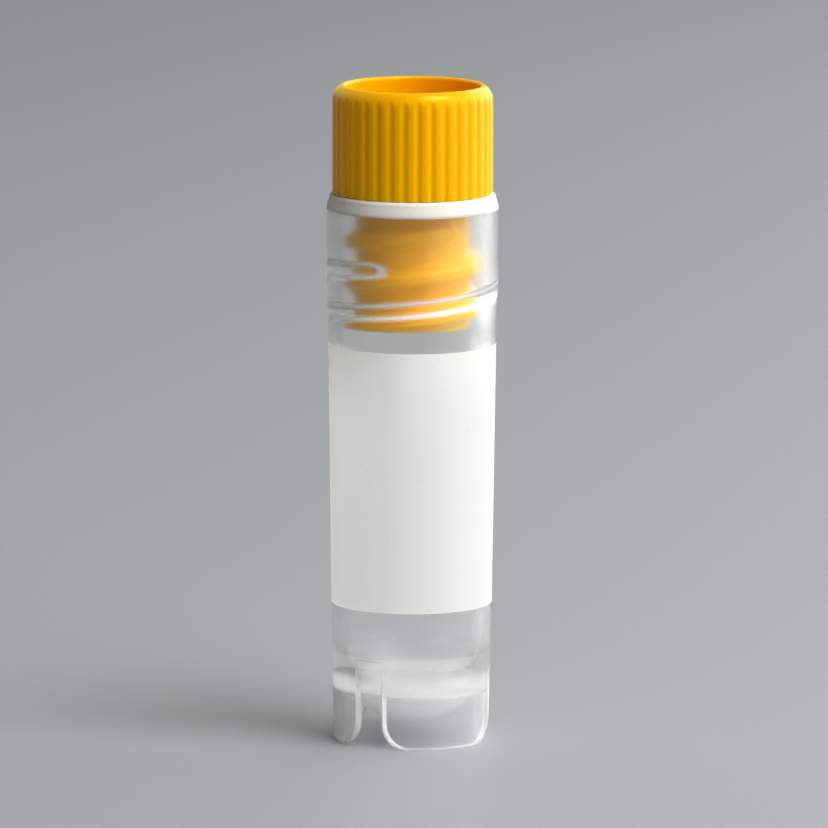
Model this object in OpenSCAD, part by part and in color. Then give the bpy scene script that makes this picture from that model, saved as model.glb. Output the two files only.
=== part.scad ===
// Cryogenic vial with an internal thread. A self-standing moulded tube on
// three feet, a ribbed screw cap whose threaded plug enters the tube, a
// silicone washer that seals cap to rim, and a printed writing patch.
// Millimetres, +Z up. The origin is on the axis, where the feet stand.

/* [Tube] */
// Height of the tube from its feet to its rim
tube_h = 39.1; // [36:0.1:60]
// Outer diameter of the straight collar under the rim
collar_d = 12.5; // [11.8:0.1:14]
// Length of the straight collar
collar_h = 5.1; // [3:0.1:8]
// Length of the taper between the collar and the body
flare_h = 3.5; // [1:0.1:6]
// How far the body lies inside the collar, on the radius
collar_step = 0.14; // [0.05:0.01:0.4]
// Mould draft of the outer wall, in degrees
body_draft = 0.77; // [0.2:0.01:1]
// Wall at the mouth
mouth_wall = 1.1; // [0.9:0.05:1.3]
// Mould draft of the bore, in degrees
bore_draft = 0.18; // [0.05:0.01:0.3]
// Chamfer on the rim's outer edge
rim_edge = 0.12; // [0.05:0.01:0.3]

/* [Round bottom] */
// Thickness of the floor on the axis
floor_t = 1.15; // [0.6:0.05:2]
// Wall of the dome at its widest
dome_wall = 0.95; // [0.7:0.05:1.2]
// Height of the dome's lowest point above the feet
dome_gap = 1.3; // [0.8:0.1:3]

/* [Feet] */
// Number of slots, and of the feet between them
slot_count = 3; // [2:1:4]
// Width of a slot
slot_w = 2.15; // [1.5:0.05:3]
// Height of a slot
slot_h = 6.44; // [5:0.02:7]
// Direction of the first slot, in degrees from +X
slot_turn = -123.6; // [-180:0.1:180]
// Depth of the flat that a slot cuts above the dome
slot_step = 0.12; // [0.05:0.01:0.2]
// Corner radius of a foot
foot_corner_r = 1.85; // [0.8:0.05:2.2]
// Wall of the skirt at the feet
skirt_wall = 0.72; // [0.5:0.02:1]
// Chamfer on the feet's outer edge
foot_edge = 0.12; // [0.05:0.01:0.3]

/* [Thread] */
// Rise of the thread in one turn
thread_pitch = 3.06; // [2.9:0.02:3.6]
// Slope of the thread's flanks from level, in degrees
flank_angle = 35; // [25:1:38]
// Height of the tube's rib above the bore
rib_h = 0.5; // [0.4:0.02:0.6]
// Width of the rib's crest
rib_crest_w = 0.65; // [0.4:0.05:0.8]
// Turns of rib in the tube
rib_turns = 1.45; // [1:0.05:1.7]
// Depth of the rib's upper end below the rim
rib_drop = 3.88; // [3.4:0.02:5]
// Direction of the rib's upper end, in degrees from +X
rib_turn = -108; // [-180:1:180]
// Height of the plug's ridge above its root
ridge_h = 0.75; // [0.5:0.05:0.8]
// Width of the ridge's crest
ridge_crest_w = 0.7; // [0.4:0.05:0.8]
// Direction of the ridge's upper end, in degrees from +X
ridge_turn = -45; // [-90:1:0]
// Clearance between the ridge's upper flank and the rib
flank_gap = 0.08; // [0.05:0.01:0.15]
// Clearance between the ridge's crest and the bore, on the radius
crest_gap = 0.25; // [0.15:0.01:0.3]

/* [Cap] */
// Diameter over the cap's ribs
cap_d = 11.7; // [11.4:0.05:12]
// Height of the cap's head
head_h = 7.95; // [6:0.05:12]
// Width of the rounded shoulder
shoulder_w = 1.0; // [0.85:0.05:1.2]
// Height of the rounded shoulder
shoulder_h = 1.3; // [0.6:0.05:2]
// Number of grip flutes round the head
flute_count = 36; // [24:2:40]
// Width of a flute
flute_w = 0.54; // [0.3:0.02:0.6]
// Depth of a flute
flute_depth = 0.22; // [0.1:0.01:0.25]
// Direction of one rib between two flutes, in degrees from +X
flute_turn = -91.2; // [-180:0.1:180]
// Wall of the head at its mouth
head_wall = 0.92; // [0.85:0.02:1.2]
// Mould draft of the head's recess, in degrees
recess_draft = 0.5; // [0.1:0.1:1]
// Thickness of the web between the recess and the washer
web_t = 1.05; // [0.6:0.05:2]
// Length of the plug below the head
plug_len = 9.65; // [9:0.05:10.5]
// Wall of the plug under its thread
plug_wall = 0.95; // [0.7:0.05:1.2]
// Thickness of the plug's floor
plug_floor = 1.0; // [0.6:0.1:2]
// Chamfer on the plug's lower edge
plug_edge = 0.15; // [0.05:0.05:0.15]

/* [Washer] */
// Thickness of the washer
washer_t = 1.08; // [0.7:0.02:1.4]
// How far the washer's upper edge lies inside its lower edge
washer_inset = 0.2; // [0.05:0.01:0.3]
// Radius of the washer's upper edge
washer_edge_r = 0.3; // [0.1:0.05:0.5]
// Clearance between the washer and the plug's neck, on the radius
washer_gap = 0.05; // [0.02:0.01:0.1]

/* [Writing patch] */
// Height of the patch's lower edge
patch_z = 10.12; // [8:0.02:12]
// Height of the patch
patch_h = 19.08; // [8:0.02:20]
// Part of the circle that the patch covers, in degrees
patch_arc = 230; // [90:1:300]
// Direction of the patch's middle, in degrees from +X
patch_turn = -82; // [-180:1:180]
// Thickness of the print
patch_t = 0.04; // [0.02:0.01:0.1]
// Clearance that keeps the print off the tube's wall
patch_gap = 0.01; // [0.005:0.005:0.03]

/* [Hidden] */
$fn = 128;
// Overlap of a cut past a face, and depth of a rib's root in its wall
past = 1;
buried = 0.2;
// Steps of a thread's sweep, of its rounded end and of the shoulder's curve
thread_step = 10;
end_steps = 5;
shoulder_steps = 10;

collar_r = collar_d / 2;
collar_z = tube_h - collar_h;
body_top_z = collar_z - flare_h;
body_top_r = collar_r - collar_step;
foot_r = body_top_r - body_top_z * tan(body_draft);
skirt_in_r = foot_r - skirt_wall;

// The bore's cone meets its round bottom where the cone has the ball's radius
mouth_r = collar_r - mouth_wall;
bore_slope = tan(bore_draft);
floor_z = dome_gap + floor_t;
well_r = (mouth_r - (tube_h - floor_z) * bore_slope) / (1 - bore_slope);
well_z = floor_z + well_r;
dome_r = well_r + dome_wall;
dome_z = dome_gap + dome_r;
// The skirt's inner wall runs up to the dome
skirt_top_z = dome_z - sqrt(pow(dome_r, 2) - pow(skirt_in_r, 2));

// The ridge lies under the rib, flank to flank, a gap apart
slope = tan(flank_angle);
rib_top_z = tube_h - rib_drop;
rib_crest_r = bore_r(rib_top_z) - rib_h;
plug_crest_r = bore_r(rib_top_z) - crest_gap;
plug_root_r = plug_crest_r - ridge_h;
flank_lap = plug_crest_r - rib_crest_r;
ridge_drop = (rib_crest_w + ridge_crest_w) / 2 + flank_lap * slope + flank_gap;
ridge_top_z = rib_top_z - ridge_drop + thread_pitch * (1 + (ridge_turn - rib_turn) / 360);

cap_r = cap_d / 2;
head_z = tube_h + washer_t;
cap_top_z = head_z + head_h;
plug_z = head_z - plug_len;
shoulder_r = cap_r - shoulder_w;
shoulder_z = cap_top_z - shoulder_h;
recess_top_r = cap_r - head_wall;
recess_z = head_z + web_t;
recess_low_r = recess_top_r - (cap_top_z - recess_z) * tan(recess_draft);
plug_bore_r = plug_root_r - plug_wall;
plug_bore_z = plug_z + plug_floor;
// A flute is part of a round bar that leaves its width and depth in the head
flute_r = (pow(flute_w / 2, 2) + pow(flute_depth, 2)) / (2 * flute_depth);
flute_axis_r = cap_r - flute_depth + flute_r;

washer_low_r = collar_r;
washer_top_r = collar_r - washer_inset;
washer_bore_r = plug_root_r + washer_gap;

function body_r(z) = foot_r + z * tan(body_draft);
// The tube's outer radius at any height: body, then taper, then collar
function outer_r(z) = z < body_top_z ? body_r(z)
    : z < collar_z ? body_top_r + collar_step * (z - body_top_z) / flare_h
    : collar_r;
function bore_r(z) = mouth_r - (tube_h - z) * bore_slope;

// A thread's section at one turn angle, as a ring of four points. It is a
// trapezoid from root_r, with its root buried in the wall, to crest_r, and
// full is the share of its width and height there.
function thread_ring(root_r, crest_r, crest_w, angle, z, full) =
    let (out = crest_r > root_r ? 1 : -1,
         tip_r = root_r + (crest_r - root_r) * full,
         half_crest = crest_w / 2 * full,
         half_root = half_crest + (abs(tip_r - root_r) + buried) * slope * full,
         ring = [[root_r - out * buried, -out * half_root], [tip_r, -out * half_crest],
                 [tip_r, out * half_crest], [root_r - out * buried, out * half_root]])
    [for (p = ring) [p[0] * cos(angle), p[0] * sin(angle), z + p[1]]];

// A thread from its upper end, at angle and z, down through some turns. Its
// ends are round: their width follows a quarter circle.
module thread_ridge(root_r, crest_r, crest_w, angle, z, turns) {
    half_w = crest_w / 2 + abs(crest_r - root_r) * slope;
    end_arc = half_w / root_r * 180 / PI;
    sweep = turns * 360;
    start = [for (i = [0.5 : end_steps - 1]) end_arc * (1 - cos(90 * i / end_steps))];
    middle = floor((sweep - 2 * end_arc) / thread_step);
    run = [for (i = [0 : middle]) end_arc + (sweep - 2 * end_arc) * i / middle];
    finish = [for (i = [1 : len(start)]) sweep - start[len(start) - i]];
    stations = concat(start, run, finish);
    points = [for (s = stations)
        let (near_end = min(s, sweep - s, end_arc),
             full = sqrt(1 - pow(1 - near_end / end_arc, 2)),
             turned = angle - sweep + s)
        each thread_ring(root_r, crest_r, crest_w, turned,
                         z - thread_pitch * (sweep - s) / 360, full)];
    last = len(stations) - 1;
    sides = [for (i = [0 : last - 1], j = [0 : 3])
        let (k = (j + 1) % 4, a = 4 * i, b = a + 4)
        each [[a + j, a + k, b + k], [a + j, b + k, b + j]]];
    near_cap = [[2, 1, 0], [3, 2, 0]];
    far_cap = [for (t = [[0, 1, 2], [0, 2, 3]]) [for (v = t) v + 4 * last]];
    polyhedron(points, concat(sides, near_cap, far_cap), convexity = 8);
}

module tube_outer() {
    rotate_extrude()
        polygon([
            [0, 0], [foot_r - foot_edge, 0], [body_r(foot_edge), foot_edge],
            [body_top_r, body_top_z], [collar_r, collar_z],
            [collar_r, tube_h - rim_edge], [collar_r - rim_edge, tube_h], [0, tube_h]
        ]);
}

module bore() {
    translate([0, 0, well_z]) sphere(well_r);
    translate([0, 0, well_z])
        cylinder(r1 = bore_r(well_z), r2 = bore_r(tube_h + past), h = tube_h + past - well_z);
}

// A slot's outline, seen along the radius: straight sides up from two
// rounded foot corners
module slot_outline() {
    corner_x = slot_w / 2 + foot_corner_r;
    translate([-slot_w / 2, -past]) square([slot_w, slot_h + past]);
    difference() {
        translate([-corner_x, -past]) square([2 * corner_x, foot_corner_r + past]);
        for (side = [-1, 1])
            translate([side * corner_x, foot_corner_r]) circle(foot_corner_r);
    }
}

// The outside of the round bottom. Above the reach of its ball it is the
// shallow flat at the top of each slot.
module dome() {
    intersection() {
        translate([0, 0, dome_z]) sphere(dome_r);
        cylinder(r1 = body_r(0) - slot_step, r2 = body_r(dome_z) - slot_step, h = dome_z);
    }
}

// What is cut away round the dome: the hollow inside the skirt, and the
// slots through it
module skirt_cuts() {
    difference() {
        union() {
            translate([0, 0, -past]) cylinder(r = skirt_in_r, h = skirt_top_z + 2 * past);
            for (i = [0 : slot_count - 1])
                rotate([0, 0, slot_turn + 90 + i * 360 / slot_count])
                    translate([0, -skirt_in_r / 2, 0])
                        rotate([90, 0, 0])
                            linear_extrude(foot_r) slot_outline();
        }
        dome();
    }
}

module tube() {
    color([0.86, 0.88, 0.89, 0.5]) {
        difference() {
            tube_outer();
            bore();
            skirt_cuts();
        }
        thread_ridge(bore_r(rib_top_z), rib_crest_r, rib_crest_w, rib_turn, rib_top_z, rib_turns);
    }
}

module head() {
    shoulder = [for (i = [0 : shoulder_steps])
        let (turned = 90 * i / shoulder_steps)
        [shoulder_r + shoulder_w * cos(turned), shoulder_z + shoulder_h * sin(turned)]];
    difference() {
        rotate_extrude()
            polygon(concat([[0, head_z], [cap_r, head_z]], shoulder, [[0, cap_top_z]]));
        for (i = [0 : flute_count - 1])
            rotate([0, 0, flute_turn + (i + 0.5) * 360 / flute_count])
                translate([flute_axis_r, 0, head_z - past])
                    cylinder(r = flute_r, h = head_h + 2 * past);
    }
}

module plug() {
    rotate_extrude()
        polygon([
            [0, plug_z], [plug_root_r - plug_edge, plug_z],
            [plug_root_r, plug_z + plug_edge], [plug_root_r, head_z + web_t / 2],
            [0, head_z + web_t / 2]
        ]);
}

// The ridge runs down to the plug's end face and is cut off there
module plug_thread() {
    low_z = plug_z - thread_pitch / 4;
    intersection() {
        thread_ridge(plug_root_r, plug_crest_r, ridge_crest_w, ridge_turn, ridge_top_z,
                     (ridge_top_z - low_z) / thread_pitch);
        translate([0, 0, plug_z]) cylinder(r = plug_crest_r + past, h = plug_len);
    }
}

// The deep recess in the head, stepping down into the hollow plug
module cap_well() {
    rise = cap_top_z + past - recess_z;
    translate([0, 0, recess_z])
        cylinder(r1 = recess_low_r, r2 = recess_low_r + rise * tan(recess_draft), h = rise);
    translate([0, 0, plug_bore_z])
        cylinder(r = plug_bore_r, h = recess_z + past - plug_bore_z);
}

module cap() {
    color([0.98, 0.74, 0.02])
        difference() {
            union() {
                head();
                plug();
                plug_thread();
            }
            cap_well();
        }
}

module washer() {
    round_x = washer_top_r - washer_edge_r;
    round_z = tube_h + washer_t - washer_edge_r;
    edge = [for (i = [0 : shoulder_steps])
        let (turned = 90 * i / shoulder_steps)
        [round_x + washer_edge_r * cos(turned), round_z + washer_edge_r * sin(turned)]];
    color([0.95, 0.94, 0.92])
        rotate_extrude()
            polygon(concat([[washer_bore_r, tube_h], [washer_low_r, tube_h]], edge,
                           [[washer_bore_r, tube_h + washer_t]]));
}

// The print follows the tube's outside, also where a long patch climbs the
// taper or the collar.
module writing_patch() {
    top_z = patch_z + patch_h;
    bends = [for (z = [body_top_z, collar_z]) if (z > patch_z && z < top_z) z];
    heights = concat([patch_z], bends, [top_z]);
    inside = [for (z = heights) [outer_r(z) + patch_gap, z]];
    outside = [for (i = [len(inside) - 1 : -1 : 0]) inside[i] + [patch_t, 0]];
    color([0.93, 0.92, 0.89])
        rotate([0, 0, patch_turn - patch_arc / 2])
            rotate_extrude(angle = patch_arc)
                polygon(concat(inside, outside));
}

tube();
cap();
washer();
writing_patch();
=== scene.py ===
"""A cryogenic vial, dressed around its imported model.

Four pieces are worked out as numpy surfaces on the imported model's own sizes: the hazy tube with
its thread, round bottom, slotted skirt and feet, the ribbed cap with its threaded plug, the
silicone washer and the printed writing patch. A pale floor, soft lamps and a camera complete the
studio. Lengths in the shape code are millimetres; meshes and the studio are in metres.
"""

import logging
import math
from dataclasses import dataclass, field
from enum import Enum

import bpy
import numpy as np
from bpy.types import Material, Mesh, Node, NodeSocket, NodeTree
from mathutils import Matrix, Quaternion, Vector


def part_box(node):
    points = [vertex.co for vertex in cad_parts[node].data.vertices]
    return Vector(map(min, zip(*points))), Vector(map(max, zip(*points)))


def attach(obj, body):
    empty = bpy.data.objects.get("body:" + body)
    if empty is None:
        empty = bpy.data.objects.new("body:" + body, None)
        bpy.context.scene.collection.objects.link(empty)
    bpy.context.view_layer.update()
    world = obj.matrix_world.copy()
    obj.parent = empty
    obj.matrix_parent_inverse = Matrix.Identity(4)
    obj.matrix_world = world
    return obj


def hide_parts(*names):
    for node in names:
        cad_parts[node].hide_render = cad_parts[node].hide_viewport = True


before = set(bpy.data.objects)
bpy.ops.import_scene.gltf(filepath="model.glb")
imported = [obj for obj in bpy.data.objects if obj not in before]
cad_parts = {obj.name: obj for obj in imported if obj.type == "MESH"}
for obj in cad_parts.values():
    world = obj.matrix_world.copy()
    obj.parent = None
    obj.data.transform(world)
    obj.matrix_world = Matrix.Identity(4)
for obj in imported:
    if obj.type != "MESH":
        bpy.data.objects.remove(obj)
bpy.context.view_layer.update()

MM = 0.001
FULL_TURN = 2 * math.pi
# how far the thread rises in a turn, on the tube and on the cap
THREAD_PITCH = 3.06
# edges that bend more than this stay sharp
SHARP_DEGREES = 50

# an outline's point: radius and height
Point = tuple[float, float]
# a number that is the same all round, or one for each column
Value = float | np.ndarray
# what a row of surface points is made from
Row = tuple[Value, ...]

log = logging.getLogger("cryovial")


class Side(Enum):
    """Which way a thread stands out of its wall."""

    INWARD = -1.0
    OUTWARD = 1.0


# -------- meshes


def node_box(node: str) -> tuple[np.ndarray, np.ndarray]:
    """Gives a CAD node's lowest and highest corners.

    Args:
        node: The node's name.

    Returns:
        The two corners, in millimetres.
    """
    low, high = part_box(node)
    return np.array(low) / MM, np.array(high) / MM


def spaced(start: float, stop: float, step: float) -> np.ndarray:
    """Gives even values from start towards stop, at most step apart, without stop itself.

    Args:
        start: The first value.
        stop: The value that the next stretch begins with.
        step: The widest spacing wanted.

    Returns:
        The values.
    """
    count = max(1, math.ceil(abs(stop - start) / step))
    return np.linspace(start, stop, count, endpoint=False)


def quarter(count: int) -> np.ndarray:
    """Gives the angles of a quarter turn, from 0 to 90 degrees, in count steps."""
    return np.linspace(0, math.pi / 2, count + 1)


def rounded(start: Point, corner: Point, end: Point, count: int = 4) -> list[Point]:
    """Rounds a corner of an outline off with a quarter of an ellipse.

    Each point is start + (corner - start) sin a + (end - corner) (1 - cos a), so the round leaves
    start towards the corner and comes into end from it.

    Args:
        start: Where the round starts, as radius and height.
        corner: The sharp corner.
        end: Where the round ends.
        count: How many steps it has.

    Returns:
        The points, with start and end among them.
    """
    turn = quarter(count)[:, None]
    first, middle, last = (np.array(point) for point in (start, corner, end))
    points = first + (middle - first) * np.sin(turn) + (last - middle) * (1 - np.cos(turn))
    return [tuple(point) for point in points.tolist()]


def soft_clamp(value: np.ndarray, blend: float) -> np.ndarray:
    """Holds a value between 0 and 1, with a parabola in place of each corner.

    Args:
        value: The values to hold.
        blend: Half the width of each parabola.

    Returns:
        The held values: 0 below, 1 above, the value itself between, joined smoothly.
    """
    low = np.where(value < blend, np.maximum(value + blend, 0) ** 2 / (4 * blend), value)
    high = 1 - np.maximum(1 + blend - value, 0) ** 2 / (4 * blend)
    return np.where(value > 1 - blend, np.where(value > 1 + blend, 1.0, high), low)


def soft_least(a: float, b: np.ndarray, reach: float) -> np.ndarray:
    """Gives the lesser of two values, rounded over reach where they cross.

    Args:
        a: One value.
        b: The others.
        reach: How far apart they are when the rounding starts.

    Returns:
        The lesser, less a quarter of reach where they are equal.
    """
    overlap = np.maximum(reach - np.abs(a - b), 0) / reach
    return np.minimum(a, b) - overlap**2 * reach / 4


def ring_points(radius: Value, angle: Value, height: Value) -> np.ndarray:
    """Turns cylinder coordinates into points: (r cos a, r sin a, z).

    Args:
        radius: Distance from the axis.
        angle: Direction from +X, in radians.
        height: Height over the feet.

    Returns:
        The points, with a last axis of three.
    """
    radius, angle, height = np.broadcast_arrays(radius, angle, height)
    return np.stack([radius * np.cos(angle), radius * np.sin(angle), height], axis=-1)


def grid_mesh(
    name: str,
    rows: np.ndarray,
    poles: np.ndarray | None = None,
    marks: dict[str, np.ndarray] | None = None,
) -> Mesh:
    """Makes a closed mesh from a grid whose columns run round and meet.

    Each cell of the grid is a four-sided face. With poles, the first and last rows are closed by
    fans of triangles; without, the last row joins the first, as on a ring.

    Args:
        name: The mesh's name.
        rows: Points in millimetres, shaped rows by columns by three.
        poles: The two end points, or None for a ring.
        marks: Values for each point of the grid, kept as attributes for the material.

    Returns:
        The mesh, in metres, with its faces outwards.
    """
    count, width = rows.shape[:2]
    index = np.arange(count * width).reshape(count, width)
    beside = np.roll(index, -1, axis=1)
    if poles is None:
        above, above_beside = np.roll(index, -1, axis=0), np.roll(beside, -1, axis=0)
    else:
        above, above_beside = index[1:], beside[1:]
        index, beside = index[:-1], beside[:-1]
    quads = np.stack([index, beside, above_beside, above], axis=-1).reshape(-1, 4)
    points = rows.reshape(-1, 3)
    fans = np.empty((0, 3), dtype=int)
    if poles is not None:
        points = np.concatenate([points, poles])
        first = np.arange(width)
        last = first + (count - 1) * width
        start = np.stack([np.full(width, count * width), np.roll(first, -1), first], axis=-1)
        end = np.stack([np.full(width, count * width + 1), last, np.roll(last, -1)], axis=-1)
        fans = np.concatenate([start, end])
    corners = np.concatenate([quads.ravel(), fans.ravel()])
    sizes = np.concatenate([np.full(len(quads), 4), np.full(len(fans), 3)])
    halves = np.concatenate([quads[:, [0, 1, 2]], quads[:, [0, 2, 3]], fans])
    one, two, three = (points[halves[:, i]] for i in range(3))
    if np.einsum("ij,ij->i", one, np.cross(two, three)).sum() < 0:
        corners = np.concatenate([quads[:, ::-1].ravel(), fans[:, ::-1].ravel()])
    mesh = bpy.data.meshes.new(name)
    mesh.vertices.add(len(points))
    mesh.vertices.foreach_set("co", (points * MM).ravel())
    mesh.loops.add(len(corners))
    mesh.loops.foreach_set("vertex_index", corners)
    mesh.polygons.add(len(sizes))
    mesh.polygons.foreach_set("loop_start", np.concatenate([[0], np.cumsum(sizes)[:-1]]))
    mesh.update(calc_edges=True)
    mesh.validate()
    for mark, values in (marks or {}).items():
        ends = values[[0, -1], 0] if poles is not None else []
        spread = np.concatenate([values.ravel(), ends])
        mesh.attributes.new(mark, "FLOAT", "POINT").data.foreach_set("value", spread)
    mesh.shade_smooth()
    mesh.set_sharp_from_angle(angle=math.radians(SHARP_DEGREES))
    return mesh


def add_piece(mesh: Mesh, finish: Material, node: str, body: str) -> None:
    """Puts a mesh into the scene in place of a CAD node.

    Args:
        mesh: The finished mesh.
        finish: Its material.
        node: The CAD node that it stands for.
        body: The body that it moves with.
    """
    piece = bpy.data.objects.new(mesh.name, mesh)
    bpy.context.scene.collection.objects.link(piece)
    mesh.materials.append(finish)
    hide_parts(node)
    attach(piece, body)
    log.info("%s: %d faces, rides on %s", mesh.name, len(mesh.polygons), body)


@dataclass(frozen=True)
class Thread:
    """A helical ridge with sloping flanks and rounded ends.

    It starts at the height top and turn degrees from +X, and runs down. A flank goes slope
    millimetres along the wall for each one of height, and the crest is a flat between them.
    """

    slope: float
    height: float
    crest: float
    turns: float
    top: float
    turn: float
    side: Side
    point: float = 1.0
    pitch: float = THREAD_PITCH
    bend: float = 0.3

    def relief(self, angle: np.ndarray, height: float, radius: float) -> np.ndarray:
        """Works out how far the ridge stands out of its wall.

        Each point's distance from the ridge's centre line is measured along the height, or round
        the line's ends beyond them, where it counts less the more pointed the ends are. The
        relief falls from the crest along the flank's slope.

        Args:
            angle: Directions from +X, in radians.
            height: The height over the feet.
            radius: The wall's radius, for distances along the wall.

        Returns:
            The relief, positive outwards and negative inwards.
        """
        half_root = self.crest / 2 + self.height * self.slope
        end = half_root * self.point / radius
        sweep = self.turns * FULL_TURN
        behind = (math.radians(self.turn) - angle) % FULL_TURN
        relief = np.zeros_like(angle)
        for lap in range(-1, math.ceil(self.turns) + 1):
            passed = behind + lap * FULL_TURN
            held = np.clip(passed, end, sweep - end)
            off = height - (self.top - self.pitch * held / FULL_TURN)
            distance = np.hypot(off, (passed - held) * radius / self.point)
            flank = (half_root - distance) / (self.slope * self.height)
            relief = np.maximum(relief, self.height * soft_clamp(flank, self.bend))
        return self.side.value * relief


# -------- materials


def hex_colour(text: str) -> tuple[float, float, float, float]:
    """Turns an sRGB hex colour into linear RGBA.

    Args:
        text: Six hex digits after a hash.

    Returns:
        The linear colour, with alpha 1.
    """
    channels = np.array([int(text[i : i + 2], 16) for i in (1, 3, 5)]) / 255
    linear = np.where(channels <= 0.04045, channels / 12.92, ((channels + 0.055) / 1.055) ** 2.4)
    return (*linear.tolist(), 1.0)


def add_node(tree: NodeTree, kind: str, inputs: dict, **settings) -> Node:
    """Adds a shader node, sets it up and links it.

    Args:
        tree: The node tree.
        kind: The node's type, without Blender's prefix.
        inputs: Input name or number to a value, or to a socket that is linked to it.
        **settings: Properties of the node itself.

    Returns:
        The node.
    """
    node = tree.nodes.new(f"ShaderNode{kind}")
    for name, value in settings.items():
        setattr(node, name, value)
    for name, value in inputs.items():
        if isinstance(value, NodeSocket):
            tree.links.new(value, node.inputs[name])
        else:
            node.inputs[name].default_value = value
    return node


def new_material(name: str) -> tuple[Material, NodeTree]:
    """Makes an empty node material.

    Args:
        name: The material's name.

    Returns:
        The material and its cleared node tree.
    """
    material = bpy.data.materials.new(name)
    material.use_nodes = True
    material.node_tree.nodes.clear()
    return material, material.node_tree


def seen_rays(tree: NodeTree) -> NodeSocket:
    """Tells what is seen, also in a gloss or through a clear wall, from what gives light.

    Args:
        tree: The node tree.

    Returns:
        A socket that is 1 for a seen surface and 0 for light.
    """
    path = add_node(tree, "LightPath", {}).outputs
    seen = path["Is Camera Ray"]
    for ray in ("Is Glossy Ray", "Is Transmission Ray"):
        either = add_node(tree, "Math", {0: seen, 1: path[ray]}, operation="MAXIMUM")
        seen = either.outputs["Value"]
    return seen


def pass_lamps(
    tree: NodeTree, surface: NodeSocket, colour: str, share: float | NodeSocket
) -> NodeSocket:
    """Lets part of the lamps' light go straight through a surface.

    Args:
        tree: The node tree.
        surface: The surface's shader.
        colour: The tint of the light that passes.
        share: How much of the shadow is taken away, from 0 to 1, or a socket that says so.

    Returns:
        The shader that also passes light.
    """
    shadow = add_node(tree, "LightPath", {}).outputs["Is Shadow Ray"]
    factor = add_node(tree, "Math", {0: shadow, 1: share}, operation="MULTIPLY")
    through = add_node(tree, "BsdfTransparent", {"Color": hex_colour(colour)})
    mixed = {"Fac": factor.outputs["Value"], 1: surface, 2: through.outputs["BSDF"]}
    return add_node(tree, "MixShader", mixed).outputs["Shader"]


def per_metre(size_mm: float) -> float:
    """Gives the texture scale at which one repeat of a pattern is size_mm long."""
    return 1 / (size_mm * MM)


def moulded_bump(tree: NodeTree, ripple_mm: float, depth_mm: float) -> NodeSocket:
    """Makes the faint ripple that a mould leaves on plastic.

    Args:
        tree: The node tree.
        ripple_mm: The ripple's length.
        depth_mm: Its depth.

    Returns:
        The bent normal.
    """
    place = add_node(tree, "TexCoord", {}).outputs["Object"]
    scale = {"Vector": place, "Scale": per_metre(ripple_mm)}
    height = add_node(tree, "TexNoise", scale).outputs["Fac"]
    bump = add_node(tree, "Bump", {"Height": height, "Distance": depth_mm * MM})
    return bump.outputs["Normal"]


@dataclass(frozen=True)
class NaturalPolypropylene:
    """Undyed polypropylene, injection moulded: lets light through and blurs what is behind it.

    The mesh's attributes say how it changes: haze makes it milkier where it is thick or edged,
    matt is its roughness, duller on the round bottom, and passing is the share of the lamps'
    light that goes straight through.
    """

    colour: str = "#fbfcfc"
    roughness: float = 0.22
    dull_roughness: float = 0.38
    ior: float = 1.49
    spread_mm: float = 1.2
    passed: str = "#f2f2f2"
    ripple_mm: float = 1.6
    ripple_depth_mm: float = 0.003

    def material(self) -> Material:
        """Builds the material.

        Returns:
            The material, with its nodes.
        """
        material, tree = new_material("natural_polypropylene_moulded")
        haze, matt, passing = (
            add_node(tree, "Attribute", {}, attribute_name=mark).outputs["Fac"]
            for mark in ("haze", "matt", "passing")
        )
        clear = add_node(tree, "Math", {0: 1.0, 1: haze}, operation="SUBTRACT")
        shader = add_node(tree, "BsdfPrincipled", {
            "Base Color": hex_colour(self.colour),
            "Roughness": matt,
            "Transmission Weight": clear.outputs["Value"],
            "Subsurface Weight": 1.0,
            "Subsurface Radius": (1.0, 1.0, 1.0),
            "Subsurface Scale": self.spread_mm * MM,
            "IOR": self.ior,
            "Normal": moulded_bump(tree, self.ripple_mm, self.ripple_depth_mm),
        })
        surface = pass_lamps(tree, shader.outputs["BSDF"], self.passed, passing)
        add_node(tree, "OutputMaterial", {"Surface": surface})
        return material


@dataclass(frozen=True)
class DyedPolypropylene:
    """Polypropylene dyed a warm yellow, injection moulded.

    It has a soft gloss, and light that spreads under its skin comes out redder in the shade.
    """

    colour: str = "#f9b300"
    gloss: str = "#fff23c"
    sheen_colour: str = "#ffee00"
    sheen: float = 0.8
    roughness: float = 0.22
    ior: float = 1.49
    spread: float = 0.6
    spread_mm: float = 0.9
    spread_by_colour: tuple[float, float, float] = (1.0, 0.35, 0.05)
    ripple_mm: float = 0.9
    ripple_depth_mm: float = 0.004

    def material(self) -> Material:
        """Builds the material.

        Returns:
            The material, with its nodes.
        """
        material, tree = new_material("dyed_polypropylene_moulded")
        shader = add_node(tree, "BsdfPrincipled", {
            "Base Color": hex_colour(self.colour),
            "Roughness": self.roughness,
            "IOR": self.ior,
            "Specular Tint": hex_colour(self.gloss),
            "Sheen Weight": self.sheen,
            "Sheen Tint": hex_colour(self.sheen_colour),
            "Subsurface Weight": self.spread,
            "Subsurface Radius": self.spread_by_colour,
            "Subsurface Scale": self.spread_mm * MM,
            "Normal": moulded_bump(tree, self.ripple_mm, self.ripple_depth_mm),
        })
        add_node(tree, "OutputMaterial", {"Surface": shader.outputs["BSDF"]})
        return material


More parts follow.
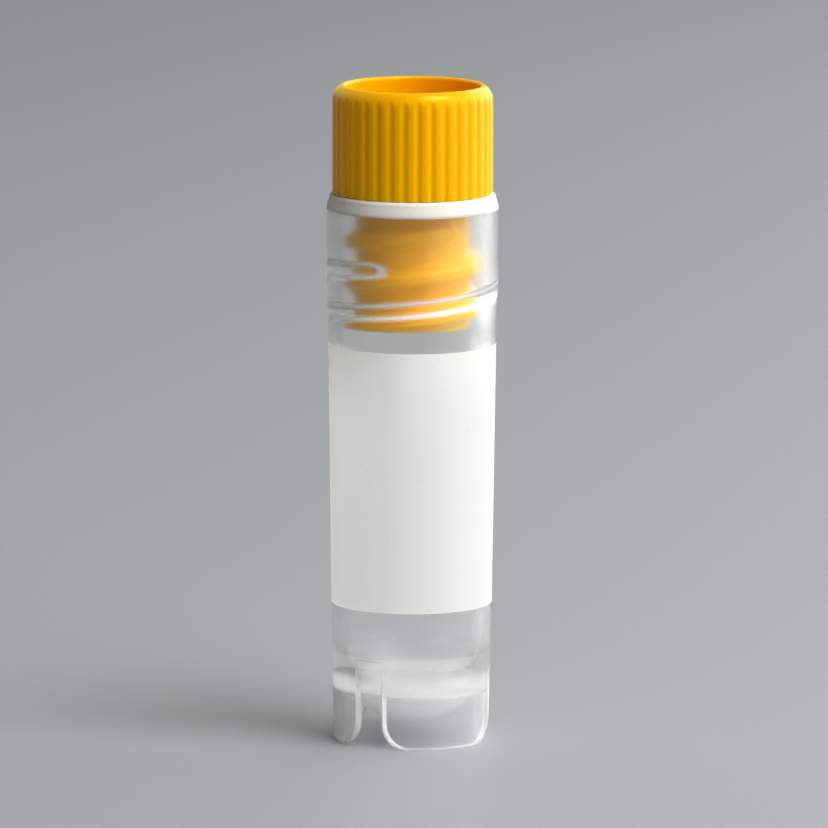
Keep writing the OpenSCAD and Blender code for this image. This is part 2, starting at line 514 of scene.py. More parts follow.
@dataclass(frozen=True)
class WhiteSilicone:
    """White silicone rubber, compression moulded: satin, soft-edged and slightly see-into."""

    colour: str = "#ebe7df"
    roughness: float = 0.45
    ior: float = 1.41
    spread: float = 0.4
    spread_mm: float = 0.8
    spread_by_colour: tuple[float, float, float] = (1.0, 0.75, 0.5)
    grain_mm: float = 0.25
    grain_depth_mm: float = 0.004

    def material(self) -> Material:
        """Builds the material.

        Returns:
            The material, with its nodes.
        """
        material, tree = new_material("white_silicone_moulded")
        shader = add_node(tree, "BsdfPrincipled", {
            "Base Color": hex_colour(self.colour),
            "Roughness": self.roughness,
            "IOR": self.ior,
            "Subsurface Weight": self.spread,
            "Subsurface Radius": self.spread_by_colour,
            "Subsurface Scale": self.spread_mm * MM,
            "Normal": moulded_bump(tree, self.grain_mm, self.grain_depth_mm),
        })
        add_node(tree, "OutputMaterial", {"Surface": shader.outputs["BSDF"]})
        return material


@dataclass(frozen=True)
class ScreenInk:
    """White ink, screen printed: matt, with a few pinholes and specks.

    It is thin enough to glow with light from inside the tube. Specks lie in cells about
    speck_gap_mm wide, each dark up to speck_core of a cell and gone by speck_edge of it.
    """

    colour: str = "#fefefd"
    speck_colour: str = "#c9c7c2"
    roughness: float = 0.6
    glow: float = 0.65
    passed: float = 0.5
    speck_gap_mm: float = 1.1
    speck_core: float = 0.03
    speck_edge: float = 0.09
    grain_mm: float = 0.12
    grain_depth_mm: float = 0.004

    def material(self) -> Material:
        """Builds the material.

        Returns:
            The material, with its nodes.
        """
        material, tree = new_material("white_ink_screen_printed")
        place = add_node(tree, "TexCoord", {}).outputs["Object"]
        scale = {"Vector": place, "Scale": per_metre(self.speck_gap_mm)}
        cells = add_node(tree, "TexVoronoi", scale)
        speck = add_node(tree, "MapRange", {
            "Value": cells.outputs["Distance"],
            "From Min": self.speck_core,
            "From Max": self.speck_edge,
            "To Min": 1.0,
            "To Max": 0.0,
        })
        colour = add_node(tree, "Mix", {
            "Factor": speck.outputs["Result"],
            "A": hex_colour(self.colour),
            "B": hex_colour(self.speck_colour),
        }, data_type="RGBA").outputs["Result"]
        skin = add_node(tree, "BsdfPrincipled", {
            "Base Color": colour,
            "Roughness": self.roughness,
            "Normal": moulded_bump(tree, self.grain_mm, self.grain_depth_mm),
        })
        through = add_node(tree, "BsdfTranslucent", {"Color": hex_colour(self.colour)})
        mixed = {"Fac": self.glow, 1: skin.outputs["BSDF"], 2: through.outputs["BSDF"]}
        both = add_node(tree, "MixShader", mixed).outputs["Shader"]
        surface = pass_lamps(tree, both, self.colour, self.passed)
        add_node(tree, "OutputMaterial", {"Surface": surface})
        return material


@dataclass(frozen=True)
class PaleFloor:
    """A plain pale board with a satin face, which keeps its colour towards the horizon.

    From fade_from to fade_to metres away, what is seen of it turns into its even colour.
    """

    colour: str = "#9fa2a4"
    roughness: float = 0.55
    fade_from: float = 0.35
    fade_to: float = 0.9

    def material(self) -> Material:
        """Builds the material.

        Returns:
            The material, with its nodes.
        """
        material, tree = new_material("pale_board_satin")
        coat = {"Base Color": hex_colour(self.colour), "Roughness": self.roughness}
        board = add_node(tree, "BsdfPrincipled", coat)
        place = add_node(tree, "TexCoord", {}).outputs["Object"]
        reach = add_node(tree, "VectorMath", {0: place}, operation="LENGTH")
        away = add_node(tree, "MapRange", {
            "Value": reach.outputs["Value"],
            "From Min": self.fade_from,
            "From Max": self.fade_to,
        }, interpolation_type="SMOOTHSTEP")
        shown = {0: away.outputs["Result"], 1: seen_rays(tree)}
        share = add_node(tree, "Math", shown, operation="MULTIPLY")
        even = add_node(tree, "Emission", {"Color": hex_colour(self.colour)}).outputs["Emission"]
        mixed = {"Fac": share.outputs["Value"], 1: board.outputs["BSDF"], 2: even}
        surface = add_node(tree, "MixShader", mixed).outputs["Shader"]
        add_node(tree, "OutputMaterial", {"Surface": surface})
        return material


# -------- the tube


@dataclass
class Tube:
    """The moulded tube: threaded mouth, round bottom, slotted skirt and feet."""

    collar_h: float = 5.1
    flare_h: float = 3.5
    flare_ease: float = 0.5
    collar_step: float = 0.14
    body_draft: float = 0.77
    mouth_wall: float = 1.1
    bore_draft: float = 0.18
    rim_round: float = 0.05
    floor_t: float = 1.15
    dome_wall: float = 0.95
    dome_gap: float = 1.3
    slot_count: int = 3
    slot_w: float = 2.15
    slot_h: float = 6.44
    slot_turn: float = -123.6
    slot_step: float = 0.12
    slot_least: float = 0.1
    slot_fade: float = 2.5
    slot_corner: float = 0.2
    foot_corner: float = 1.85
    split_gap: float = 1.0
    skirt_wall: float = 0.72
    edge_round: float = 0.1
    edge_share: float = 0.45
    joint_blend: float = 0.4
    dull_gap: float = 0.01
    dull_fade: float = 2.0
    rib_depth: float = 3.88
    rib_reach: float = 1.2
    # the widest gaps between rows
    well_step: float = 4.0
    rib_step: float = 0.08
    mouth_step: float = 0.6
    side_step: float = 0.9
    body_step: float = 2.2
    # milkiness, from 0 for clear to 1
    mouth_haze: float = 0.0
    wall_haze: float = 0.04
    edge_haze: float = 0.8
    least_milk: float = 0.6
    rib_haze: float = 1.0
    thick_haze: float = 0.3
    skirt_haze: float = 0.06
    joint_haze: float = 0.55
    dome_haze: float = 0.85
    floor_haze: float = 0.0
    # heights over the joint where the outside's haze changes, its share of thick_haze at the
    # last of them, and how far over the slots it is down to the wall's
    haze_steps: tuple[float, float, float] = (-0.25, 0.05, 1.3)
    haze_share: float = 0.45
    haze_end: float = 0.8
    # share of the lamps' light that goes straight through
    collar_passing: float = 0.92
    under_passing: float = 0.35
    floor_passing: float = 0.5
    skirt_passing: float = 0.85
    finish: NaturalPolypropylene = field(default_factory=NaturalPolypropylene)

    def __post_init__(self) -> None:
        """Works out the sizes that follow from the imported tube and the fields."""
        low, high = node_box("tube")
        self.height = high[2]
        self.collar_r = (high[0] - low[0]) / 2
        self.mouth_r = self.collar_r - self.mouth_wall
        self.body_top_z = self.height - self.collar_h - self.flare_h
        self.body_top_r = self.collar_r - self.collar_step
        self.floor_z = self.dome_gap + self.floor_t
        rise = math.tan(math.radians(self.bore_draft))
        self.well_r = (self.mouth_r - (self.height - self.floor_z) * rise) / (1 - rise)
        self.well_z = self.floor_z + self.well_r
        self.dome_r = self.well_r + self.dome_wall
        self.dome_z = self.dome_gap + self.dome_r
        self.skirt_in_r = float(self.body_radius(0.0)) - self.skirt_wall
        self.joint_z = self.dome_z - math.sqrt(self.dome_r**2 - self.skirt_in_r**2)
        self.split_z = self.slot_h + self.split_gap
        self.sector = math.pi / self.slot_count

    def body_radius(self, z: Value) -> Value:
        """Gives the outer radius of the drafted body at a height."""
        return self.body_top_r - (self.body_top_z - z) * math.tan(math.radians(self.body_draft))

    def bore_radius(self, z: Value) -> Value:
        """Gives the radius of the tapering bore at a height."""
        return self.mouth_r - (self.height - z) * math.tan(math.radians(self.bore_draft))

    def under_radius(self, z: np.ndarray) -> np.ndarray:
        """Gives the radius of the surface inside the skirt and slots at a height.

        It is the skirt's inner wall up to the round bottom, then the ball, and above the ball's
        reach the shallow flat of a slot, which runs out towards the slot's top.

        Args:
            z: Heights over the feet.

        Returns:
            The radii.
        """
        ball = np.sqrt(np.maximum(self.dome_r**2 - (self.dome_z - z) ** 2, 0))
        step = self.slot_step * np.clip((self.slot_h - z) / self.slot_fade, self.slot_least, 1)
        return np.maximum(self.skirt_in_r, np.minimum(ball, self.body_radius(z) - step))

    def thread(self) -> Thread:
        """Gives the rib inside the mouth."""
        return Thread(
            slope=2.0, height=0.22, crest=0.5, turns=1.45, top=self.height - self.rib_depth,
            turn=-108, side=Side.INWARD, point=2.4,
        )

    def slot_columns(self) -> dict[str, np.ndarray]:
        """Works out the outline from a slot's middle to a foot's middle, one entry a column.

        The outline runs along the slot's top, round its corner, down its side, round the foot's
        corner and along the foot. Each column has its place on the outline, the direction into
        the material, its angle on the ring above the slot and its angle on the ring where the
        skirt meets the round bottom.

        Returns:
            Arrays named x, z, nx, nz, along, above and below.
        """
        half, corner, foot = self.slot_w / 2, self.slot_corner, self.foot_corner
        top_n, corner_n, upper_n, lower_n, foot_n, base_n = 11, 3, 13, 10, 12, 15
        turn, sweep = quarter(corner_n)[:-1], quarter(foot_n)[:-1]
        turn_x, turn_z, foot_x, foot_z = np.sin(turn), np.cos(turn), np.cos(sweep), np.sin(sweep)
        sill = self.slot_h - corner
        # x, z, nx and nz of each stretch
        stretches = [
            (np.linspace(0, half - corner, top_n, endpoint=False), self.slot_h, 0, 1),
            (half - corner + corner * turn_x, sill + corner * turn_z, turn_x, turn_z),
            (half, np.linspace(sill, self.joint_z, upper_n, endpoint=False), 1, 0),
            (half, np.linspace(self.joint_z, foot, lower_n, endpoint=False), 1, 0),
            (half + foot - foot * foot_x, foot - foot * foot_z, foot_x, foot_z),
            (half + foot, np.zeros(base_n + 1), 0, 1),
        ]
        stretches = [np.stack(np.broadcast_arrays(*stretch)) for stretch in stretches]
        x, z, nx, nz = np.concatenate(stretches, axis=1)
        run = np.concatenate([np.zeros(len(x) - base_n - 1), np.linspace(0, 1, base_n + 1)])
        over_slot, in_slot = top_n + corner_n, top_n + corner_n + upper_n
        edge_above = math.asin((half + 2 * self.edge_round) / self.body_radius(self.slot_h))
        edge_below = math.asin(half / self.skirt_in_r)
        last = len(x) - 1
        column = np.arange(len(x))
        above = np.interp(column, [0, over_slot, last], [0, edge_above, self.sector])
        below = np.interp(column, [0, in_slot, last], [0, edge_below, self.sector])
        return {"x": x, "z": z, "nx": nx, "nz": nz, "along": run, "above": above, "below": below}

    def outline_angle(
        self, columns: dict[str, np.ndarray], into: np.ndarray, r: np.ndarray
    ) -> np.ndarray:
        """Gives the outline's angle from the slot's middle, at some depth into the material.

        Up to the foot's corner a slot has parallel sides, so the angle is the arcsine of the
        distance over the radius. Along the foot's base the angle runs evenly to its middle.

        Args:
            columns: The columns.
            into: Distance from the outline into the material.
            r: The radius at which the outline is met.

        Returns:
            The angle of each column, in radians.
        """
        edge = np.arcsin((columns["x"] + into * columns["nx"]) / r)
        return edge + (self.sector - edge) * columns["along"]

    def outside_haze(self, z: np.ndarray) -> np.ndarray:
        """Gives the outside's haze at a height.

        It grows as the plastic thickens between the round bottom and the skirt, drops where the
        skirt is free, and fades from there to the feet.

        Args:
            z: Heights over the feet.

        Returns:
            The haze.
        """
        wall, thick = self.wall_haze, self.thick_haze
        free, filled, thin = (self.joint_z + step for step in self.haze_steps)
        heights = [0, free, filled, thin, self.slot_h + self.haze_end]
        return np.interp(z, heights, [wall, self.skirt_haze, thick, self.haze_share * thick, wall])

    def lower_rows(self, columns: dict[str, np.ndarray]) -> list[Row]:
        """Works out the rows from the body down over a foot's edge and up to the round bottom.

        Each column is a straight run on the body to the rounded edge, across the wall, over the
        inner edge, and on the skirt's inner wall or the round bottom to the ring where they meet.

        Args:
            columns: The columns.

        Returns:
            Each row's radius, angle, height, haze and passing.
        """
        outline_z, rise = columns["z"], columns["nz"]
        depth = self.body_radius(outline_z) - self.under_radius(outline_z)
        edge = np.minimum(self.edge_round, self.edge_share * depth)
        # into the material at the skirt's inner wall, out of it at the round bottom
        reach = edge * np.clip((self.joint_z - outline_z) / self.joint_blend, -1, 1)
        # the milk fades where the slot runs out into the round bottom
        edge_haze = self.edge_haze * np.clip(depth / self.skirt_wall, self.least_milk, 1)
        body_n, edge_n, inner_n = 32, 5, 10
        skirt_passing = np.full_like(depth, self.skirt_passing)
        edge_z = outline_z + edge * rise
        edge_angle = self.outline_angle(columns, edge, self.body_radius(edge_z))
        rows = []
        for t in np.linspace(0, 1, body_n, endpoint=False):
            z = self.split_z + (edge_z - self.split_z) * t
            angle = columns["above"] + (edge_angle - columns["above"]) * t
            rows.append((self.body_radius(z), angle, z, self.outside_haze(z), skirt_passing))
        # how far each row on the edge lies into the material, and how far it is sunk
        face = [(edge * (1 - np.sin(a)), edge * (1 - np.cos(a))) for a in quarter(edge_n)]
        face += [(np.zeros_like(edge), edge + (depth - 2 * edge) * t) for t in (0.35, 0.65)]
        face += [
            (reach * (1 - np.cos(a)), depth - edge * (1 - np.sin(a))) for a in quarter(edge_n)[:-1]
        ]
        for into, sunk in face:
            z = outline_z + into * rise
            r = self.body_radius(z) - sunk
            angle = self.outline_angle(columns, into, r)
            rows.append((r, angle, z, edge_haze, np.ones_like(z)))
        from_z = outline_z + reach * rise
        from_angle = self.outline_angle(columns, reach, self.under_radius(from_z))
        for t in np.linspace(0, 1, inner_n + 1):
            z = from_z + (self.joint_z - from_z) * t
            angle = from_angle + (columns["below"] - from_angle) * t
            in_slot = z > self.joint_z
            haze = np.where(in_slot, self.outside_haze(z), self.wall_haze)
            haze = haze + (self.joint_haze - haze) * (t == 1)
            passing = np.where(in_slot, self.skirt_passing, self.under_passing)
            rows.append((self.under_radius(z), angle, z, haze, passing))
        return rows

    def all_round(self, half: np.ndarray, mirrored: bool = False) -> np.ndarray:
        """Repeats a half sector's columns round the axis.

        Args:
            half: Values from a slot's middle to a foot's middle.
            mirrored: True for an angle, which changes sign on the slot's other side.

        Returns:
            Values for every column, in order round the axis.
        """
        other = half[-2:0:-1]
        if not mirrored:
            return np.tile(np.concatenate([half, other]), self.slot_count)
        sector = np.concatenate([half, 2 * self.sector - other])
        steps = np.arange(self.slot_count) * 2 * self.sector + math.radians(self.slot_turn)
        return (sector + steps[:, None]).ravel()

    def inner_rows(self, angle: np.ndarray) -> list[Row]:
        """Works out the rows from the floor up the bore, with its rib, to the rim.

        The rib's flanks are milkier than the wall.

        Args:
            angle: The angle of every column.

        Returns:
            Each row's radius, angle, height, haze and passing.
        """
        rows = []
        for a in quarter(22)[1:]:
            z = self.well_z - self.well_r * math.cos(a)
            haze = self.floor_haze + (self.wall_haze - self.floor_haze) * math.sin(a) ** 4
            passing = self.floor_passing + (1 - self.floor_passing) * math.sin(a) ** 6
            rows.append((self.well_r * math.sin(a), angle, z, haze, passing))
        thread = self.thread()
        low = thread.top - thread.turns * thread.pitch - self.rib_reach
        high = thread.top + self.rib_reach
        rim_z = self.height - 1.5 * self.rim_round
        heights = np.concatenate([
            spaced(self.well_z + 1, low, self.well_step), spaced(low, high, self.rib_step),
            spaced(high, rim_z, self.mouth_step), [rim_z],
        ])
        for z in heights:
            r = self.bore_radius(z)
            relief = thread.relief(angle, z, r)
            share = np.abs(relief) / thread.height
            wall = self.wall_haze if z < low else self.mouth_haze
            haze = wall + (self.rib_haze - wall) * (4 * share * (1 - share)) ** 1.5
            rows.append((r + relief, angle, z, haze, self.collar_passing if z > low else 1.0))
        return rows

    def outer_rows(self, angle: np.ndarray) -> list[Row]:
        """Works out the rows over the rim and down the collar, taper and body.

        Args:
            angle: The angle of every column.

        Returns:
            Each row's radius, angle, height, haze and passing.
        """
        edge, top, mouth, outer = self.rim_round, self.height, self.mouth_r, self.collar_r
        rim = rounded((mouth, top - edge), (mouth, top), (mouth + edge, top))
        rim += rounded((outer - edge, top), (outer, top), (outer, top - edge))
        rows = [(r, angle, z, self.edge_haze, self.collar_passing) for r, z in rim]
        flare_top = top - self.collar_h + self.flare_ease
        side = [(outer, z) for z in spaced(top - 1.5 * edge, flare_top, self.side_step)]
        for t in np.linspace(0, 1, 13):
            # eased at the collar, where the taper starts, and straight into the body's draft
            z = flare_top - t * (self.flare_h + self.flare_ease)
            ease = 1 - (1 - t) ** 2 * (1 + 2 * t)
            side.append((outer + (self.body_radius(z) - outer) * ease, z))
        rows += [(r, angle, z, self.mouth_haze, self.collar_passing) for r, z in side]
        for z in spaced(self.body_top_z, self.split_z, self.body_step)[1:]:
            rows.append((self.body_radius(z), angle, z, self.wall_haze, 1.0))
        return rows

    def build(self) -> None:
        """Makes the tube as one closed surface from the inner floor to the underside."""
        columns = self.slot_columns()
        angle = self.all_round(columns["above"], mirrored=True)
        rows = self.inner_rows(angle) + self.outer_rows(angle)
        for r, turned, *others in self.lower_rows(columns):
            others = [self.all_round(values) for values in others]
            rows.append((self.all_round(r), self.all_round(turned, mirrored=True), *others))
        below = self.all_round(columns["below"], mirrored=True)
        widest = math.asin(self.skirt_in_r / self.dome_r)
        for a in np.linspace(widest, 0, 19)[1:-1]:
            z = self.dome_z - self.dome_r * math.cos(a)
            rows.append((self.dome_r * math.sin(a), below, z, self.dome_haze, self.under_passing))
        grid = np.stack([ring_points(*row[:3]) for row in rows])
        haze, passing = (
            np.stack([np.broadcast_to(row[i], len(angle)) for row in rows]) for i in (3, 4)
        )
        poles = np.array([[0, 0, self.floor_z], [0, 0, self.dome_gap]])
        smooth, dull = self.finish.roughness, self.finish.dull_roughness
        bottom = np.hypot(grid[..., 0], grid[..., 1]) < self.skirt_in_r - self.dull_gap
        sunk = np.clip((self.well_z - grid[..., 2]) / self.dull_fade, 0, 1)
        matt = smooth + (dull - smooth) * bottom * sunk
        marks = {"haze": haze, "passing": passing, "matt": matt}
        mesh = grid_mesh("tube_moulding", grid, poles, marks)
        add_piece(mesh, self.finish.material(), "tube", "tube")


# -------- the cap


@dataclass
class Cap:
    """The moulded cap: ribbed head with a deep recess, and a hollow threaded plug."""

    columns_a_flute: int = 14
    flute_count: int = 36
    flute_w: float = 0.8
    flute_depth: float = 0.12
    flute_blend: float = 0.08
    flute_turn: float = -91.2
    shoulder_w: float = 1.0
    shoulder_h: float = 1.3
    head_wall: float = 0.92
    web_t: float = 1.05
    plug_wall: float = 0.95
    plug_floor: float = 1.0
    recess_low_r: float = 4.87
    head_h: float = 7.95
    plug_root_r: float = 4.139
    edge: float = 0.12
    neck_round: float = 0.04
    inner_round: float = 0.3
    lip_round: float = 0.24
    lip_h: float = 0.6
    ridge_depth: float = 2.3
    ridge_past: float = 0.4
    ridge_reach: float = 1.1
    # the widest gaps between rows
    ridge_step: float = 0.085
    neck_step: float = 0.4
    side_step: float = 0.6
    recess_step: float = 0.9
    bore_step: float = 1.2
    finish: DyedPolypropylene = field(default_factory=DyedPolypropylene)

    def __post_init__(self) -> None:
        """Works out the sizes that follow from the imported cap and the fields."""
        low, high = node_box("cap")
        self.radius = (high[0] - low[0]) / 2
        self.plug_z = low[2]
        self.top_z = high[2]
        self.head_z = self.top_z - self.head_h
        self.recess_z = self.head_z + self.web_t
        self.lip_r = self.radius - self.head_wall
        self.bore_r = self.plug_root_r - self.plug_wall

    def thread(self) -> Thread:
        """Works out the ridge on the plug, which runs down past the plug's end.

        Returns:
            The ridge.
        """
        top = self.head_z - self.ridge_depth
        turns = (top - self.plug_z) / THREAD_PITCH + self.ridge_past
        return Thread(
            slope=0.7, height=0.75, crest=0.7, turns=turns, top=top, turn=-45, side=Side.OUTWARD
        )

    def fluted(self, radius: float, angle: np.ndarray) -> np.ndarray:
        """Cuts the flutes into the head's side at some outline radius.

        A flute is a cosine's full wave across, and it runs out where the shoulder turns in.

        Args:
            radius: The outline's radius.
            angle: The angle of every column.

        Returns:
            The radius with its flutes.
        """
        pitch = FULL_TURN / self.flute_count
        off = (angle - math.radians(self.flute_turn)) % pitch - pitch / 2
        across = np.clip(2 * off * self.radius / self.flute_w, -1, 1)
        cut = self.radius - self.flute_depth * (1 + np.cos(math.pi * across)) / 2
        return soft_least(radius, cut, self.flute_blend)

    def plug_rows(self, angle: np.ndarray) -> list[Row]:
        """Works out the rows from the plug's end up its side to the head's underside.

        Args:
            angle: The angle of every column.

        Returns:
            Radius and height of each row.
        """
        thread, edge, neck, root = self.thread(), self.edge, self.neck_round, self.plug_root_r
        low, head = self.plug_z, self.head_z

        def side(z: float) -> np.ndarray:
            """Gives the plug's radius with its ridge at a height."""
            return root + thread.relief(angle, z, root)

        rows = [((side(low) - edge) * t, low) for t in (0.25, 0.5, 0.75, 0.93)]
        for dr, dz in rounded((-edge, 0), (0, 0), (0, edge))[:-1]:
            rows.append((side(low + dz) + dr, low + dz))
        top = thread.top + self.ridge_reach
        heights = [
            *spaced(low + edge, top, self.ridge_step), *spaced(top, head - neck, self.neck_step)
        ]
        rows += [(side(z), z) for z in heights]
        return rows + rounded((root, head - neck), (root, head), (root + neck, head), 3)

    def head_rows(self, angle: np.ndarray) -> list[Row]:
        """Works out the rows under the head, up its ribbed side, over the shoulder to the lip.

        Args:
            angle: The angle of every column.

        Returns:
            Radius and height of each row.
        """
        edge, lip, head = self.edge, self.lip_round, self.head_z
        side = self.fluted(self.radius, angle)
        low = rounded((-edge, 0), (0, 0), (0, edge))
        rows = [(side + dr, head + dz) for dr, dz in low]
        shoulder_z = self.top_z - self.shoulder_h
        rows += [(side, z) for z in spaced(head + 2 * edge, shoulder_z, self.side_step)]
        crest = self.lip_r + lip
        across = self.radius - self.shoulder_w
        last = math.acos((crest - across) / self.shoulder_w)
        for a in np.linspace(0, last, 22):
            r = across + self.shoulder_w * math.cos(a)
            rows.append((self.fluted(r, angle), shoulder_z + self.shoulder_h * math.sin(a)))
        peak = shoulder_z + self.shoulder_h * math.sin(last)
        return rows + rounded((crest, peak), (self.lip_r, peak), (self.lip_r, peak - lip), 6)[1:]

    def well_rows(self) -> list[Row]:
        """Works out the rows down the recess, over its floor and down the hollow plug.

        Returns:
            Radius and height of each row.
        """
        floor, low, bore = self.recess_z, self.recess_low_r, self.bore_r
        bend, edge, base = self.inner_round, self.edge, self.plug_z + self.plug_floor
        outline = [
            (low + (self.lip_r - low) * (z - floor) / (self.top_z - floor), z)
            for z in spaced(self.top_z - self.lip_h, floor + bend, self.recess_step)
        ]
        outline += rounded((low, floor + bend), (low, floor), (low - bend, floor))
        outline += rounded((bore + edge, floor), (bore, floor), (bore, floor - edge))
        outline += [(bore, z) for z in spaced(floor - 2 * edge, base + bend, self.bore_step)]
        outline += rounded((bore, base + bend), (bore, base), (bore - bend, base))
        return outline + [(bore * t, base) for t in (0.6, 0.3)]

    def build(self) -> None:
        """Makes the cap as one closed surface from the plug's end to the plug's inner floor."""
        count = self.flute_count * self.columns_a_flute
        angle = np.linspace(0, FULL_TURN, count, endpoint=False) + math.radians(self.flute_turn)
        rows = self.plug_rows(angle) + self.head_rows(angle) + self.well_rows()
        grid = np.stack([ring_points(r, angle, z) for r, z in rows])
        poles = np.array([[0, 0, self.plug_z], [0, 0, self.plug_z + self.plug_floor]])
        mesh = grid_mesh("cap_moulding", grid, poles)
        add_piece(mesh, self.finish.material(), "cap", "cap")


# -------- washer and print


@dataclass
class Washer:
    """The silicone washer between the cap's head and the tube's rim."""

    columns: int = 768
    inset: float = 0.2
    edge_r: float = 0.3
    low_edge_r: float = 0.04
    bore_r: float = 4.189
    gap: float = 0.01
    nick_az: float = -93.3
    nick_w: float = 0.12
    nick_depth: float = 0.02
    nick_fade: float = 0.3
    finish: WhiteSilicone = field(default_factory=WhiteSilicone)

    def build(self) -> None:
        """Makes the washer as a ring, with the small nick that its mould leaves."""
        low, high = node_box("washer")
        low_z, top_z = low[2] + self.gap, high[2] - self.gap
        low_r = (high[0] - low[0]) / 2
        top_r = low_r - self.inset
        bore, small, big = self.bore_r, self.low_edge_r, self.edge_r
        middle = (low_z + top_z) / 2
        outline = [(bore, low_z), ((bore + low_r) / 2, low_z)]
        outline += rounded((low_r - small, low_z), (low_r, low_z), (low_r, low_z + small))
        outline += [
            (low_r - self.inset * t, low_z + small + (top_z - big - low_z - small) * t)
            for t in (0.25, 0.5, 0.75)
        ]
        outline += rounded((top_r, top_z - big), (top_r, top_z), (top_r - big, top_z), 7)
        outline += [((bore + top_r) / 2, top_z), (bore, top_z), (bore, middle)]
        angle = np.linspace(0, FULL_TURN, self.columns, endpoint=False)
        off = ((angle - math.radians(self.nick_az) + math.pi) % FULL_TURN - math.pi) * low_r
        nick = self.nick_depth * np.exp(-((off / self.nick_w) ** 2))
        rows = [
            (r - nick * np.clip((middle - z) / self.nick_fade, 0, 1) * (r > low_r - big), z)
            for r, z in outline
        ]
        grid = np.stack([ring_points(r, angle, z) for r, z in rows])
        add_piece(grid_mesh("washer_ring", grid), self.finish.material(), "washer", "washer")


@dataclass
class WritingPatch:
    """The white print that is written on."""

    arc: float = 230.0
    turn: float = -82.0
    thickness: float = 0.012
    gap: float = 0.006
    rows: int = 12
    columns: int = 300
    finish: ScreenInk = field(default_factory=ScreenInk)

    def build(self, tube: Tube) -> None:
        """Makes the print as a thin curved sheet on the tube.

        A section, tall and very thin, is carried round part of the tube's body.

        Args:
            tube: The tube that carries it.
        """
        low, high = node_box("writing_patch")
        z_low, z_top = low[2], high[2]
        heights = np.linspace(z_low, z_top, self.rows)
        outside = self.gap + self.thickness
        section = np.array([(z, self.gap) for z in heights] + [(z, outside) for z in heights[::-1]])
        half = math.radians(self.arc / 2)
        turned = math.radians(self.turn) + np.linspace(-half, half, self.columns)
        radius = tube.body_radius(section[:, 0]) + section[:, 1]
        grid = ring_points(radius[None, :], turned[:, None], section[None, :, 0])
        middle = (z_low + z_top) / 2
        r = float(tube.body_radius(middle)) + self.gap + self.thickness / 2
        poles = ring_points(np.array([r, r]), turned[[0, -1]], np.array([middle, middle]))
        mesh = grid_mesh("writing_patch_ink", grid, poles)
        add_piece(mesh, self.finish.material(), "writing_patch", "tube")


# -------- the studio


@dataclass(frozen=True)
class Lamp:
    """A soft box: a rectangle of even light."""

    name: str
    place: tuple[float, float, float]
    size: tuple[float, float]
    watts: float
    aim: tuple[float, float, float] = (0.0, 0.0, 0.024)

    def build(self) -> None:
        """Puts the lamp into the scene, turned towards its aim."""
        data = bpy.data.lights.new(self.name, "AREA")
        data.shape = "RECTANGLE"
        data.size, data.size_y = self.size
        data.energy = self.watts
        lamp = bpy.data.objects.new(self.name, data)
        lamp.location = self.place
        lamp.rotation_mode = "QUATERNION"
        lamp.rotation_quaternion = (Vector(self.aim) - Vector(self.place)).to_track_quat("-Z", "Y")
        bpy.context.scene.collection.objects.link(lamp)


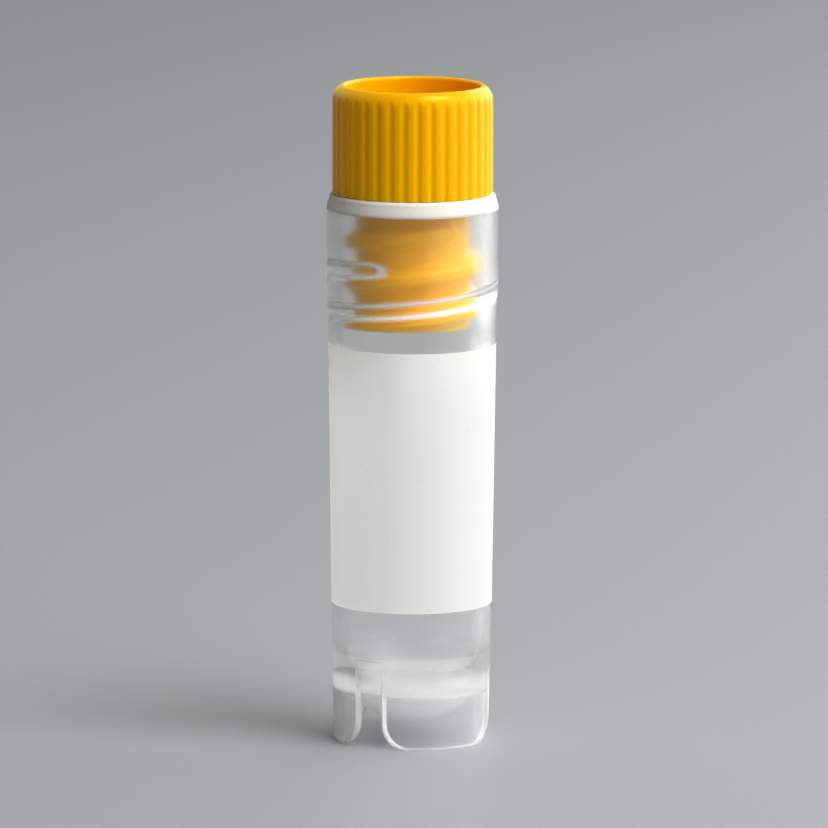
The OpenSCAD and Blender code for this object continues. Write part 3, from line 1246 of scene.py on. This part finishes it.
@dataclass
class Studio:
    """The floor, lamps, surroundings and camera."""

    board: PaleFloor = field(default_factory=PaleFloor)
    floor_r: float = 12.0
    floor_core_r: float = 0.05
    floor_rings: int = 12
    floor_sides: int = 64
    surroundings: str = "#b3a791"
    surround_strength: float = 0.17
    lens_mm: float = 430.0
    sensor_mm: float = 36.0
    distance: float = 0.720
    elevation: float = 8.9
    aim: tuple[float, float, float] = (0.00014, 0.0, 0.0239)
    roll: float = 0.13
    lamps: tuple[Lamp, ...] = (
        Lamp("key_softbox", (0.400, -0.300, 0.32), (0.60, 0.85), 3.25),
        Lamp("side_softbox", (0.492, 0.087, 0.17), (0.40, 0.45), 0.4),
        Lamp("back_softbox", (0.34, 0.36, 0.20), (0.60, 0.50), 2.0),
        Lamp("top_softbox", (0.22, -0.16, 0.55), (0.27, 0.27), 2.1),
        Lamp("rim_softbox", (-0.5, 0.45, 0.35), (0.3, 0.4), 0.12),
    )

    def floor(self) -> None:
        """Lays the floor at the feet, as a disc of rings that widen outwards."""
        radii = np.geomspace(self.floor_core_r, self.floor_r, self.floor_rings)
        angle = np.linspace(0, FULL_TURN, self.floor_sides, endpoint=False)
        points = ring_points(radii[:, None], angle[None, :], np.array([[0.0]])).reshape(-1, 3)
        index = np.arange(len(points)).reshape(len(radii), len(angle))
        beside = np.roll(index, -1, axis=1)
        quads = np.stack([index[:-1], index[1:], beside[1:], beside[:-1]], axis=-1).reshape(-1, 4)
        mesh = bpy.data.meshes.new("floor")
        mesh.from_pydata(points.tolist(), [], quads.tolist() + [index[0].tolist()])
        mesh.materials.append(self.board.material())
        floor = bpy.data.objects.new("floor", mesh)
        bpy.context.scene.collection.objects.link(floor)

    def world(self) -> None:
        """Surrounds the scene with one even light, seen in the floor's own colour."""
        world = bpy.data.worlds.new("surroundings")
        bpy.context.scene.world = world
        world.use_nodes = True
        tree = world.node_tree
        tree.nodes.clear()
        lit = {"Color": hex_colour(self.surroundings), "Strength": self.surround_strength}
        light = add_node(tree, "Background", lit).outputs["Background"]
        shown = add_node(tree, "Background", {"Color": hex_colour(self.board.colour)})
        mixed = {"Fac": seen_rays(tree), 1: light, 2: shown.outputs["Background"]}
        both = add_node(tree, "MixShader", mixed).outputs["Shader"]
        add_node(tree, "OutputWorld", {"Surface": both})

    def camera(self) -> None:
        """Sets up a long lens, slightly above the vial."""
        data = bpy.data.cameras.new("camera")
        data.lens = self.lens_mm
        data.sensor_width = self.sensor_mm
        camera = bpy.data.objects.new("camera", data)
        tilt = math.radians(self.elevation)
        back = Vector((0, -math.cos(tilt), math.sin(tilt)))
        camera.location = Vector(self.aim) + back * self.distance
        camera.rotation_mode = "QUATERNION"
        turned = Quaternion((0, 0, 1), math.radians(self.roll))
        camera.rotation_quaternion = (-back).to_track_quat("-Z", "Y") @ turned
        bpy.context.scene.collection.objects.link(camera)
        bpy.context.scene.camera = camera

    def build(self) -> None:
        """Sets up the whole studio."""
        self.floor()
        self.world()
        self.camera()
        for lamp in self.lamps:
            lamp.build()
        bpy.context.scene.view_settings.view_transform = "Standard"


def main() -> None:
    """Builds the studio and the four pieces."""
    logging.basicConfig(level=logging.INFO, format="%(message)s")
    Studio().build()
    tube = Tube()
    tube.build()
    Cap().build()
    Washer().build()
    WritingPatch().build(tube)


if __name__ == "__main__":
    main()
